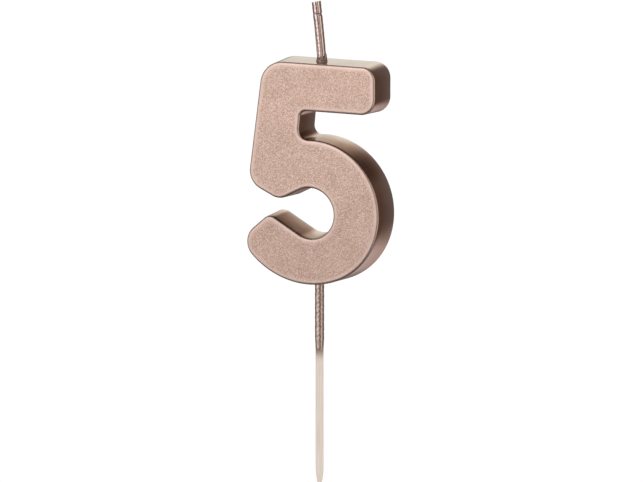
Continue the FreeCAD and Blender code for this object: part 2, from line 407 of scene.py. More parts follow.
def waves(parts: tuple[Wave, ...], angle: np.ndarray, height: np.ndarray | float = 0.0
          ) -> np.ndarray:
    """Sum of waves: size times the sine of turns by angle, climb by height and phase.

    Args:
        parts: The waves.
        angle: Angles round the axis, in radians.
        height: Heights along it, in millimetres.

    Returns:
        What the waves add at each place.
    """
    return sum(part.size * np.sin(part.turns * angle + part.climb * height + part.phase)
               for part in parts)


def angles(around: int) -> np.ndarray:
    """Even angles once round, in radians."""
    return np.linspace(0, 2 * math.pi, around, endpoint=False)


def turned(radii: np.ndarray, heights: np.ndarray) -> np.ndarray:
    """Rings about the Z axis, one row of (x, y, z) points for each row of radii."""
    angle = angles(radii.shape[1])
    return np.dstack([radii * np.cos(angle), radii * np.sin(angle),
                      np.broadcast_to(heights, radii.shape)])


def capped(name: str, rings: np.ndarray) -> bpy.types.Object:
    """Closed surface over rings, with a point in the middle of each end ring.

    Args:
        name: The piece's name.
        rings: Rows of (x, y, z) points in millimetres, from the lowest ring up and
            counter-clockwise seen from above.

    Returns:
        The new object; its last two vertices are the lower and the upper middle.
    """
    rows, around = rings.shape[:2]
    first, top = rows * around, (rows - 1) * around
    near = np.arange(around)
    beside = (near + 1) % around
    faces = grid_faces(rows, around).tolist()
    faces += np.column_stack([beside, near, np.full(around, first)]).tolist()
    faces += np.column_stack([top + near, top + beside, np.full(around, first + 1)]).tolist()
    middles = rings[[0, -1]].mean(axis=1)
    return new_piece(name, np.vstack([rings.reshape(-1, 3), middles]) * MM, faces)


# ------------------------------------------------------- material helpers

class Graph:
    """Short way to add and join the nodes of one tree."""

    def __init__(self, tree: bpy.types.NodeTree) -> None:
        """Take an empty node tree."""
        self.tree = tree

    def add(self, kind: str, settings: dict[str, Any] | None = None,
            **inputs: Any) -> bpy.types.Node:
        """Add a node.

        Args:
            kind: The node's type without its "ShaderNode" prefix.
            settings: Properties of the node.
            **inputs: Values or output sockets for its inputs, by name; a socket
                number is written as s0, s1 and so on.

        Returns:
            The new node.
        """
        full = kind if kind.startswith("Node") else "ShaderNode" + kind
        node = self.tree.nodes.new(full)
        for key, value in (settings or {}).items():
            setattr(node, key, value)
        self.feed(node, **inputs)
        return node

    def feed(self, node: bpy.types.Node, **inputs: Any) -> None:
        """Give a node's inputs values or output sockets, named as for add."""
        for key, value in inputs.items():
            numbered = key[0] == "s" and key[1:].isdigit()
            socket = node.inputs[int(key[1:]) if numbered else key.replace("_", " ")]
            if isinstance(value, bpy.types.NodeSocket):
                self.tree.links.new(value, socket)
            else:
                socket.default_value = value

    def math(self, operation: str, first: Any, second: Any = 0.0) -> bpy.types.NodeSocket:
        """Combine two numbers and return the result's socket."""
        node = self.add("Math", {"operation": operation}, s0=first, s1=second)
        return node.outputs[0]

    def weigh(self, value: Any, share: Any, rest: Any) -> bpy.types.NodeSocket:
        """Add a share of one number to another and return the result's socket."""
        return self.math("ADD", self.math("MULTIPLY", value, share), rest)

    def attribute(self, name: str) -> bpy.types.NodeSocket:
        """Read one of the piece's attributes and return its socket."""
        return self.add("Attribute", {"attribute_name": name}).outputs["Fac"]

    def level(self) -> bpy.types.NodeSocket:
        """Read the height in the frame and return its socket."""
        place = self.add("TexCoord").outputs["Object"]
        return self.add("SeparateXYZ", Vector=place).outputs["Z"]

    def mix(self, factor: Any, first: Any, second: Any) -> bpy.types.NodeSocket:
        """Blend two colours and return the result's socket."""
        return self.add("Mix", {"data_type": "RGBA"}, s0=factor, s6=first, s7=second).outputs[2]

    def ramp(self, value: Any, low: float, high: float, to_low: float = 0.0,
             to_high: float = 1.0) -> bpy.types.NodeSocket:
        """Ease a number from one range into another and return the socket."""
        return self.add("MapRange", {"interpolation_type": "SMOOTHSTEP"}, Value=value,
                        From_Min=low, From_Max=high, To_Min=to_low, To_Max=to_high).outputs[0]


def effect(name: str, inputs: dict[str, float], outputs: dict[str, str]) -> tuple[
        bpy.types.NodeTree, Graph, bpy.types.Node, bpy.types.Node]:
    """Start a shared node group that measures a pattern on object coordinates.

    Args:
        name: The group's name.
        inputs: Its number inputs with their default values.
        outputs: Its outputs with their kinds, Float, Color or Vector.

    Returns:
        The group, a graph to build it with, its input node and its output node.
    """
    group = bpy.data.node_groups.new(name, "ShaderNodeTree")
    for key, value in inputs.items():
        socket = group.interface.new_socket(name=key, in_out="INPUT", socket_type="NodeSocketFloat")
        socket.default_value = value
    for key, kind in outputs.items():
        group.interface.new_socket(name=key, in_out="OUTPUT", socket_type="NodeSocket" + kind)
    graph = Graph(group)
    return group, graph, graph.add("NodeGroupInput"), graph.add("NodeGroupOutput")


CELL_SHARE = 0.6
NOISE_SCALE = 0.7


def flake_group() -> bpy.types.NodeTree:
    """Metallic flakes lying at random in a lacquer.

    A cell pattern gives each flake its own tone, and a share of noise breaks the
    cells up. Outputs are the tone and a height for bump, both about one half.
    """
    group, graph, source, result = effect(
        "flake_grain", {"Flake Size": 0.4, "Contrast": 0.5}, {"Tone": "Float", "Height": "Float"})
    place = graph.add("TexCoord").outputs["Object"]
    scale = graph.math("DIVIDE", 1.0 / MM, source.outputs["Flake Size"])
    cells = graph.add("TexVoronoi", Vector=place, Scale=scale)
    grey = graph.add("RGBToBW", Color=cells.outputs["Color"]).outputs[0]
    fine = graph.add("TexNoise", Vector=place, Detail=3.0, Roughness=0.7,
                     Scale=graph.math("MULTIPLY", scale, NOISE_SCALE)).outputs[0]
    both = graph.weigh(grey, CELL_SHARE, graph.math("MULTIPLY", fine, 1 - CELL_SHARE))
    centred = graph.math("SUBTRACT", both, 0.5)
    tone = graph.weigh(centred, source.outputs["Contrast"], 0.5)
    graph.feed(result, Tone=tone, Height=both)
    return group


def cloud_group() -> bpy.types.NodeTree:
    """Soft uneven patches, as where a coat of lacquer lies thicker or thinner.

    A low noise is stretched along Z by its own input and eased to a 0 to 1 mask.
    """
    group, graph, source, result = effect(
        "cloudy_patches", {"Patch Size": 8.0, "Stretch": 1.0}, {"Mask": "Float"})
    place = graph.add("TexCoord").outputs["Object"]
    parts = graph.add("SeparateXYZ", Vector=place)
    along = graph.math("DIVIDE", parts.outputs["Z"], source.outputs["Stretch"])
    squeezed = graph.add("CombineXYZ", X=parts.outputs["X"], Y=parts.outputs["Y"], Z=along)
    scale = graph.math("DIVIDE", 1.0 / MM, source.outputs["Patch Size"])
    noise = graph.add("TexNoise", Vector=squeezed.outputs[0], Detail=2.0, Roughness=0.5,
                      Scale=scale).outputs[0]
    graph.feed(result, Mask=graph.ramp(noise, 0.3, 0.7))
    return group


@dataclass
class Effects:
    """The shared node groups, each built once."""

    flakes: bpy.types.NodeTree
    clouds: bpy.types.NodeTree

    @classmethod
    def build(cls) -> "Effects":
        """Build every group."""
        return cls(flake_group(), cloud_group())


def use(graph: Graph, group: bpy.types.NodeTree, **inputs: Any) -> bpy.types.Node:
    """Place a shared group in a material with its own values."""
    return graph.add("Group", {"node_tree": group}, **inputs)


def start_material(name: str) -> tuple[bpy.types.Material, Graph, bpy.types.Node]:
    """Start a node material.

    Args:
        name: The material's name.

    Returns:
        The material, a graph for its nodes and its Principled shader.
    """
    material = bpy.data.materials.new(name)
    material.use_nodes = True
    graph = Graph(material.node_tree)
    return material, graph, material.node_tree.nodes["Principled BSDF"]


def roughen(graph: Graph, shader: bpy.types.Node, height: bpy.types.NodeSocket,
            strength: float, depth: float) -> None:
    """Feed a shader's normal with a bump.

    Args:
        graph: The material's nodes.
        shader: Its Principled shader.
        height: Height of the surface, from 0 to 1.
        strength: Strength of the bump.
        depth: What a height of 1 stands for, in millimetres.
    """
    bump = graph.add("Bump", Strength=strength, Distance=depth * MM, Height=height)
    graph.feed(shader, Normal=bump.outputs[0])


Colour = tuple[float, float, float, float]
Span = tuple[float, float]


@dataclass(frozen=True)
class RoseGoldLacquer:
    """Metallic lacquer: satin with a fine grain on the flat faces, glossier on the walls.

    The faces are a little paler towards the top, as painted light, and along their edges,
    as a painted highlight. The walls carry painted shade: pale where it is light, amber
    where it is heavier and dark brown where it is deepest.
    """

    name: str
    face: Colour = (0.98, 0.75, 0.635, 1)
    face_dark: Colour = (0.55, 0.365, 0.29, 1)
    # rim: colour of the painted highlight along the faces' edges
    rim: Colour = (0.98, 0.77, 0.67, 1)
    # pale, amber and pooled: tones of the painted shade on the walls, lightest to darkest
    pale: Colour = (0.78, 0.68, 0.62, 1)
    amber: Colour = (0.44, 0.265, 0.18, 1)
    pooled: Colour = (0.15, 0.06, 0.035, 1)
    face_roughness: float = 0.42
    wall_roughness: float = 0.2
    flake_size: float = 0.22
    grain: float = 0.4
    # painted light: the faces are darker towards the bottom, down to height_shade_low
    height_shade_low: float = 0.86
    height_shade_reach: Span = (20.0, 85.0)
    tone_span: Span = (0.25, 0.75)
    rim_highlight_share: float = 0.7
    cloud_size: float = 7.0
    cloud_share: float = 0.3
    cloud_gloss: float = 0.06
    wall_calm: float = 0.8
    bump_depth: float = 0.04

    def build(self, effects: Effects) -> bpy.types.Material:
        """Build the material from the piece's "wall", "rim" and "pooled" attributes; "rim" places a
        painted highlight along the faces' edges.
        """
        material, graph, shader = start_material(self.name)
        wall, rim, pooled = (graph.attribute(name) for name in ("wall", "rim", "pooled"))
        flakes = use(graph, effects.flakes, Flake_Size=self.flake_size, Contrast=1.0)
        clouds = use(graph, effects.clouds, Patch_Size=self.cloud_size).outputs["Mask"]
        tone = graph.ramp(flakes.outputs["Tone"], *self.tone_span)
        face = graph.mix(tone, self.face_dark, self.face)
        # painted highlight: the faces turn towards the rim colour along their edges
        face = graph.mix(graph.math("MULTIPLY", rim, self.rim_highlight_share), face, self.rim)
        # painted light: the face colour is scaled down towards the bottom of the numeral
        low, high = (reach * MM for reach in self.height_shade_reach)
        height_shade = graph.ramp(graph.level(), low, high, self.height_shade_low, 1.0)
        face = graph.add("VectorMath", {"operation": "SCALE"}, s0=face, Scale=height_shade).outputs[0]
        # painted shade on the walls: pale through amber to dark brown by the pooled attribute, made
        # patchy by the clouds
        uneven = graph.weigh(clouds, self.cloud_share, 1 - self.cloud_share / 2)
        shade_amount = graph.math("MULTIPLY", pooled, graph.math("MULTIPLY", uneven, 2.0))
        deep = graph.math("MAXIMUM", graph.math("SUBTRACT", shade_amount, 1.0), 0.0)
        side = graph.mix(graph.math("MINIMUM", shade_amount, 1.0), self.pale, self.amber)
        side = graph.mix(graph.math("MINIMUM", deep, 1.0), side, self.pooled)
        graph.feed(shader, Base_Color=graph.mix(wall, face, side))
        rough = graph.weigh(wall, self.wall_roughness - self.face_roughness, self.face_roughness)
        patchy = graph.weigh(graph.math("SUBTRACT", clouds, 0.5), self.cloud_gloss, rough)
        graph.feed(shader, Roughness=patchy, Metallic=1.0)
        calm = graph.math("SUBTRACT", 1.0, graph.math("MULTIPLY", wall, self.wall_calm))
        height = graph.math("MULTIPLY", flakes.outputs["Height"], calm)
        roughen(graph, shader, height, self.grain, self.bump_depth)
        return material


@dataclass(frozen=True)
class BareBamboo:
    """Pale bamboo with fine lengthwise grain, tinted by lacquer mist near its top."""

    name: str = "bare_bamboo"
    light: Colour = (0.79, 0.71, 0.64, 1)
    dark: Colour = (0.58, 0.46, 0.38, 1)
    mist: Colour = (0.26, 0.165, 0.13, 1)
    mist_top: float = 1.8
    mist_bottom: float = -4.4
    fibres: Span = (0.32, 40.0)
    fibre_share: float = 0.55
    bands: Span = (1.2, 14.0)
    band_share: float = 0.25
    fleck_size: float = 0.3
    speckle: float = 0.3
    cover_span: Span = (0.15, 1.15)
    roughness: Span = (0.55, 0.72)

    def build(self, effects: Effects) -> bpy.types.Material:
        """Build the material from stretched noise along Z and a speckled mask."""
        material, graph, shader = start_material(self.name)
        fibres, bands = (
            use(graph, effects.clouds, Patch_Size=size, Stretch=stretch).outputs["Mask"]
            for size, stretch in (self.fibres, self.bands))
        fleck = use(graph, effects.flakes, Flake_Size=self.fleck_size, Contrast=1.0)
        wood = graph.mix(graph.math("MULTIPLY", fibres, self.fibre_share), self.light, self.dark)
        wood = graph.mix(graph.math("MULTIPLY", bands, self.band_share), wood, self.dark)
        fade = graph.ramp(graph.level(), self.mist_bottom * MM, self.mist_top * MM)
        cover = graph.ramp(graph.weigh(fleck.outputs["Tone"], self.speckle, fade), *self.cover_span)
        graph.feed(shader, Base_Color=graph.mix(cover, wood, self.mist))
        graph.feed(shader, Roughness=graph.ramp(fibres, 0.0, 1.0, *self.roughness))
        roughen(graph, shader, fibres, strength=0.5, depth=0.05)
        return material


@dataclass(frozen=True)
class PlainWax:
    """Cast wax or wax glue with soft cloudy patches."""

    name: str
    light: Colour
    dark: Colour
    roughness: float = 0.45
    patch_size: float = 2.5
    glow: float = 0.2
    glow_depth: float = 1.5

    def build(self, effects: Effects) -> bpy.types.Material:
        """Build the material from two tones, a soft bump and subsurface light."""
        material, graph, shader = start_material(self.name)
        clouds = use(graph, effects.clouds, Patch_Size=self.patch_size).outputs["Mask"]
        graph.feed(shader, Base_Color=graph.mix(clouds, self.light, self.dark))
        graph.feed(shader, Roughness=self.roughness, Subsurface_Weight=self.glow,
                   Subsurface_Scale=self.glow_depth * MM)
        roughen(graph, shader, clouds, strength=0.3, depth=0.05)
        return material


@dataclass(frozen=True)
class WaxedCord:
    """Twisted cotton under wax and a thin lacquer, bare and paler at its cut end, with painted
    shade darkening its grooves.
    """

    name: str = "waxed_cord"
    crest: Colour = (0.98, 0.79, 0.72, 1)
    # groove_shade: colour of the painted shade down in the grooves
    groove_shade: Colour = (0.50, 0.36, 0.31, 1)
    cotton: Colour = (0.90, 0.84, 0.78, 1)
    metallic: float = 1.0
    roughness: float = 0.17
    cut_roughness: float = 0.9
    groove_span: Span = (0.1, 0.9)
    fleck_size: float = 0.22
    fleck_share: float = 0.16

    def build(self, effects: Effects) -> bpy.types.Material:
        """Build the material from the cord's "depth" and "cut" attributes."""
        material, graph, shader = start_material(self.name)
        depth, cut = graph.attribute("depth"), graph.attribute("cut")
        fleck = use(graph, effects.flakes, Flake_Size=self.fleck_size, Contrast=1.0)
        # painted shade: the lacquer darkens towards the groove_shade colour in the grooves between
        # the plies
        groove_shaded = graph.mix(graph.ramp(depth, *self.groove_span), self.crest, self.groove_shade)
        share = graph.math("MULTIPLY", fleck.outputs["Tone"], self.fleck_share)
        shade = graph.mix(share, groove_shaded, self.groove_shade)
        graph.feed(shader, Base_Color=graph.mix(cut, shade, self.cotton))
        keep = graph.math("SUBTRACT", 1.0, cut)
        graph.feed(shader, Metallic=graph.math("MULTIPLY", keep, self.metallic),
                   Roughness=graph.ramp(cut, 0.0, 1.0, self.roughness, self.cut_roughness))
        roughen(graph, shader, fleck.outputs["Height"], strength=0.4, depth=0.03)
        return material


def dress(piece: bpy.types.Object, material: bpy.types.Material) -> None:
    """Give a piece one material and report it."""
    piece.data.materials.clear()
    piece.data.materials.append(material)
    LOG.info("%s: %d faces, %s", piece.name, len(piece.data.polygons), material.name)


# --------------------------------------------------------------- numeral

def inside(points: np.ndarray, ring: np.ndarray) -> np.ndarray:
    """Tell which points lie inside a closed ring, by counting crossings to the right."""
    start, end = ring, np.roll(ring, -1, axis=0)
    height = points[:, 1, None]
    crosses = (start[:, 1] <= height) != (end[:, 1] <= height)
    rise = np.where(end[:, 1] == start[:, 1], 1.0, end[:, 1] - start[:, 1])
    across = start[:, 0] + (height - start[:, 1]) / rise * (end[:, 0] - start[:, 0])
    return (crosses & (across > points[:, 0, None])).sum(axis=1) % 2 == 1


@dataclass
class Numeral:
    """The cast numeral and its lacquer; sizes in millimetres and degrees."""

    outline: NumeralOutline
    skin: float = 0.15
    draft: float = 2.7
    round_front: float = 0.8
    round_back: float = 0.5
    spacing: float = 0.25
    lattice: float = 0.8
    rim_gap: float = 0.2
    edge_steps: int = 9
    wall_steps: int = 10
    turn_span: Span = (0.45, 0.8)
    undulation: float = 0.02
    undulation_rates: Span = (0.31, 0.23)
    undulation_span: Span = (0.3, 5.0)
    # rim_highlight_span: how far in from the faces' edges the painted highlight reaches
    rim_highlight_span: Span = (0.2, 1.0)
    # the recess sizes and the shade_ fields set how much painted shade the walls get
    recess_reach: float = 24.0
    recess_least: float = 0.2
    recess_span: Span = (0.02, 0.15)
    pooled_level: float = 0.15
    pooled_upright: float = 0.37
    pooled_under: float = 0.3
    pooled_hollow: float = 0.92
    pooled_bend: float = 0.6

    def edge_profile(self, half: float) -> tuple[np.ndarray, np.ndarray, np.ndarray]:
        """Section carried along the outline, from the front face round to the back.

        A small arc turns the front face into the wall, the wall runs straight and
        flares towards the back by the mould's draft, and a smaller arc leads to
        the back face. Each arc's centre is its radius away from the face and from
        the wall's line.

        Args:
            half: Half of the lacquered numeral's depth, in millimetres.

        Returns:
            Distance outside the core's outline, depth, and a 0 to 1 wall mask.
        """
        slope = math.radians(self.draft)
        reach = self.skin - math.sin(slope) * (half - self.skin)
        arcs = []
        for radius, side, first, last in ((self.round_front, -1, -math.pi / 2, -slope),
                                          (self.round_back, 1, -slope, math.pi / 2)):
            deep = side * (half - radius)
            out = (reach - radius + math.sin(slope) * deep) / math.cos(slope)
            angle = np.linspace(first, last, self.edge_steps)
            arcs.append(np.array([out + radius * np.cos(angle), deep + radius * np.sin(angle)]))
        share = np.linspace(0, 1, self.wall_steps)[1:-1]
        wall = arcs[0][:, -1:] + (arcs[1][:, :1] - arcs[0][:, -1:]) * share
        turned = smooth_step(np.linspace(0, 1, self.edge_steps), *self.turn_span)
        mask = np.concatenate([turned, np.ones(len(share)), turned[::-1]])
        out, deep = np.hstack([arcs[0], wall, arcs[1]])
        return out, deep, mask

    def recess(self, path: np.ndarray, outward: np.ndarray) -> np.ndarray:
        """How much of each place's outlook is taken up by other parts of the outline.

        It is the view factor in the outline's plane: over every other place within
        reach, the cosines at both ends over twice the distance, times the step
        along the outline, added up.
        """
        step = np.linalg.norm(np.roll(path, -1, axis=0) - path, axis=1)
        apart = path[None] - path[:, None]
        distance = np.maximum(np.linalg.norm(apart, axis=2), self.recess_least)
        leaving = np.einsum("ijk,ik->ij", apart, outward) / distance
        arriving = -np.einsum("ijk,jk->ij", apart, outward) / distance
        seen = (leaving > 0) & (arriving > 0) & (distance < self.recess_reach)
        return (np.where(seen, leaving * arriving / (2 * distance), 0) * step).sum(axis=1)

    def painted_shading(self, path: np.ndarray, outward: np.ndarray, deep: np.ndarray,
                half: float) -> np.ndarray:
        """How much painted shade the walls get, from 0 to 1.

        Walls that face up in the open get the least painted shade, those that face sideways
        more, and those that face up inside a recess, where shade falls, most. There is none
        at the back edge, and towards the front it grows as one minus a power of what is left
        of the depth, evenly on level walls; on walls that face down it is the other way round.

        Args:
            path: Outline points.
            outward: Their outward normals.
            deep: Depth of each step of the edge profile.
            half: Half of the lacquered numeral's depth.

        Returns:
            One row for each outline point, one column for each step.
        """
        lift = outward[:, 1]
        low = smooth_step(-lift, 0.2, 0.5)
        upper = self.pooled_level + self.pooled_upright * (1 - lift ** 2)
        beside = upper * (1 - low) + self.pooled_under * low
        # recesses, where shade falls, get the most painted shade
        recess_shade = smooth_step(self.recess(path, outward), *self.recess_span)
        recess_shade = recess_shade * smooth_step(lift, 0.1, 0.5)
        amount = beside + (self.pooled_hollow - beside) * recess_shade
        power = 1 + self.pooled_bend * smooth_step(1 - lift, 0, 0.15)
        share = np.clip((half - deep) / (2 * half), 0, 1)[None]
        share = share + low[:, None] * (1 - 2 * share)
        return amount[:, None] * (1 - (1 - share) ** power[:, None])

    def face_net(self, ring: np.ndarray, rim: np.ndarray) -> tuple[np.ndarray, list[list[int]]]:
        """Triangles over a flat face: its ring, a rim just inside it and a lattice.

        Args:
            ring: The face's boundary as (x, z) rows.
            rim: The same number of points a little inside the ring.

        Returns:
            All points, the ring's first, and triangles counter-clockwise from the front.
        """
        low, high = ring.min(axis=0), ring.max(axis=0)
        rows = np.arange(low[1], high[1], self.lattice * math.sqrt(3) / 2)
        columns = np.arange(low[0], high[0], self.lattice)
        place = np.dstack(np.meshgrid(columns, rows)).astype(float)
        place[1::2, :, 0] += self.lattice / 2
        place = place.reshape(-1, 2)
        place = place[inside(place, rim)]
        apart = np.linalg.norm(place[:, None] - rim[None, ::2], axis=2).min(axis=1)
        place = place[apart > self.lattice * 0.5]
        points = np.vstack([ring, rim[::2], place])
        boundary, only_inside, tolerance = [list(range(len(ring)))[::-1]], 1, 1e-6
        found = delaunay_2d_cdt([Vector(p) for p in points], [], boundary, only_inside, tolerance)
        return np.array([tuple(p) for p in found[0]]), [list(face) for face in found[2]]

    def build(self) -> bpy.types.Object:
        """Build the lacquered surface: the edge profile along the outline, and two faces."""
        low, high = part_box("numeral_lacquer")
        base = low.z / MM + self.skin
        half = (high.y - low.y) / 2 / MM
        path, outward = self.outline.trace(self.spacing)
        path = path + np.array([0.0, base])
        out, deep, mask = self.edge_profile(half)
        place = path[:, None] + outward[:, None] * out[None, :, None]
        grid = np.dstack([place[..., 0], np.broadcast_to(deep, place.shape[:2]), place[..., 1]])
        stations, steps = place.shape[:2]
        vertices = [grid.reshape(-1, 3)]
        faces = grid_faces(stations, steps, wrap_rows=True, wrap_columns=False)[:, ::-1].tolist()
        walls = [np.tile(mask, stations)]
        rim_highlights = [np.ones(stations * steps)]
        ring = path + outward * out[0]
        rim = path + outward * (out[0] - self.rim_gap)
        net, triangles = self.face_net(ring, rim)
        count = stations * steps
        for side, column in ((-1, 0), (1, steps - 1)):
            numbers = np.concatenate([np.arange(stations) * steps + column,
                                      count + np.arange(len(net) - stations)])
            inner = net[stations:]
            across, up = self.undulation_rates
            wave = np.sin(inner[:, 0] * across + side) * np.cos(inner[:, 1] * up)
            reach = np.linalg.norm(inner[:, None] - ring[None, ::2], axis=2).min(axis=1)
            sunk = self.undulation * smooth_step(reach, *self.undulation_span) * (1 + wave)
            vertices.append(np.column_stack([inner[:, 0], side * (half - sunk), inner[:, 1]]))
            walls.append(np.zeros(len(inner)))
            # painted highlight, strongest at the face's edge and gone about a millimetre in
            rim_highlights.append(1 - smooth_step(reach, *self.rim_highlight_span))
            faces += [[numbers[i] for i in (face if side < 0 else face[::-1])]
                      for face in triangles]
            count += len(inner)
        piece = new_piece("lacquered_numeral", np.vstack(vertices) * MM, faces)
        # painted shade on the walls, stored for the lacquer to read
        pooled = np.zeros(count)
        pooled[:stations * steps] = self.painted_shading(path, outward, deep, half).ravel()
        set_attributes(piece, wall=np.concatenate(walls), pooled=pooled, rim=np.concatenate(rim_highlights))
        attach(piece, Body.CANDLE.value)
        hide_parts("numeral_lacquer")
        return piece


# ------------------------------------------------------------------ wick

@dataclass(frozen=True)
class Mark:
    """A dent or a swelling on one side of the wick.

    Sizes are in millimetres; the rise is outwards, and the bearing, in radians,
    goes round the wick's axis.
    """

    rise: float
    height: float
    reach: float
    bearing: float

    def shape(self, height: np.ndarray, angle: np.ndarray) -> np.ndarray:
        """A bell along the wick, eased to nothing at a quarter turn to either side."""
        bell = np.exp(-((height - self.height) / self.reach) ** 2)
        return self.rise * bell * smooth_step(np.cos(angle - self.bearing), 0, 1)


@dataclass
class Wick:
    """The waxed wick and the collar at its foot; sizes in millimetres and degrees."""

    foot_x: float = 0.8
    top_drop: float = 0.25
    lean: float = 6.0
    exposed: float = 18.3
    radius: float = 1.43
    sunk: float = 1.5
    ridges: int = 6
    groove_depth: float = 0.14
    lay: float = -420.0
    groove_bearing: float = -59.0
    around: int = 96
    along: int = 170
    clearance: float = 0.04
    groove_power: float = 1.8
    bow: float = 0.10
    shakes: tuple[Wave, ...] = (Wave(0.018, 3, 2.9), Wave(0.014, -1, 5.3))
    marks: tuple[Mark, ...] = (Mark(-0.30, 14.4, 0.3, -0.45), Mark(0.09, 13.5, 0.5, 2.8))
    cut_slope: float = 0.12
    cut_reach: float = 2.0
    cut_rise: float = 0.12
    cut_rings: tuple[float, ...] = (0.97, 0.82, 0.55, 0.25)
    collar_height: float = 2.0
    collar_radius: float = 1.85
    collar_waves: tuple[Wave, ...] = (Wave(0.12, 2, 0, 0.7), Wave(0.10, 7), Wave(0.08, 13, 0, 1.1))
    collar_steps: tuple[Span, ...] = (
        (-0.2, 1.0), (0.0, 1.0), (0.1, 0.93), (0.3, 0.84), (0.55, 0.78), (0.8, 0.76),
        (0.93, 0.73), (1.0, 0.66), (0.98, 0.5))
    bend_reach: Span = (1.1, 4.8)

    def frame(self) -> tuple[np.ndarray, np.ndarray]:
        """Foot of the wick on the numeral's top and the unit vector along it."""
        lean = math.radians(self.lean)
        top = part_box("numeral_lacquer")[1].z / MM - self.top_drop
        return (np.array([self.foot_x, 0.0, top]),
                np.array([-math.sin(lean), 0.0, math.cos(lean)]))

    def cord(self) -> bpy.types.Object:
        """Build the twisted cord.

        Its section is a circle with two rounded ridges for each of the three plies;
        the ridges turn slowly with height. Waves and marks shake the radius, the
        whole bows a little sideways, and the last rings close the sloping cut end.
        """
        foot, axis = self.frame()
        side = np.array([axis[2], 0.0, -axis[0]])
        height = np.linspace(-self.sunk, self.exposed, self.along)[:, None]
        angle = angles(self.around)[None]
        twist = 2 * math.pi * (height - self.exposed / 2) / self.lay
        crest = math.radians(self.groove_bearing) + math.pi / self.ridges
        lobe = np.abs(np.cos(self.ridges / 2 * (angle - crest - twist)))
        depth = (1 - lobe) ** self.groove_power
        radius = (self.radius - self.clearance - self.groove_depth * depth
                  + waves(self.shakes, angle, height)
                  + sum(mark.shape(height, angle) for mark in self.marks))
        bend = self.bow * np.sin(math.pi * np.clip(height / self.exposed, 0, 1))
        inner = np.array(self.cut_rings)[:, None]
        bend, height, depth = (np.vstack([rows, np.repeat(rows[-1:], len(inner), axis=0)])
                               for rows in (bend, height, depth))
        radius = np.vstack([radius, radius[-1] * inner])
        x, y = radius * np.cos(angle) + bend, radius * np.sin(angle)
        sloping = smooth_step(height, self.exposed - self.cut_reach, self.exposed)
        lifted = np.minimum(height + sloping * self.cut_slope * x, self.exposed + self.cut_rise)
        spots = foot + x[..., None] * side + y[..., None] * np.array([0.0, 1.0, 0.0]) + (
            lifted[..., None] * axis)
        piece = capped("wick_cord", spots)
        cut = np.zeros(depth.shape)
        cut[-len(inner):] = 1
        set_attributes(piece, depth=np.append(depth, [0, 0]), cut=np.append(cut, [0, 1]))
        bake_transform(piece)
        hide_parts("wick_coat", "wick_strand_1", "wick_strand_2", "wick_strand_3")
        return piece

    def collar(self) -> bpy.types.Object:
        """Build the crumbly wax round the wick's foot; its near-black colour is partly dark wax and
        partly painted shadow of the wick's hole.

        It is turned about the upright axis from a few steps of height and radius.
        Waves round the axis shake the height, and the radius more the higher up.
        """
        foot, _ = self.frame()
        uneven = waves(self.collar_waves, angles(self.around))
        rise, out = np.array(self.collar_steps).T[..., None]
        radii = out * self.collar_radius * (1 + 0.5 * uneven * rise)
        heights = rise * self.collar_height * (1 + uneven)
        piece = capped("wick_collar", turned(radii, heights) + foot)
        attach(piece, Body.CANDLE.value)
        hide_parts("wick_seal")
        return piece


# ------------------------------------------------------------------ pick

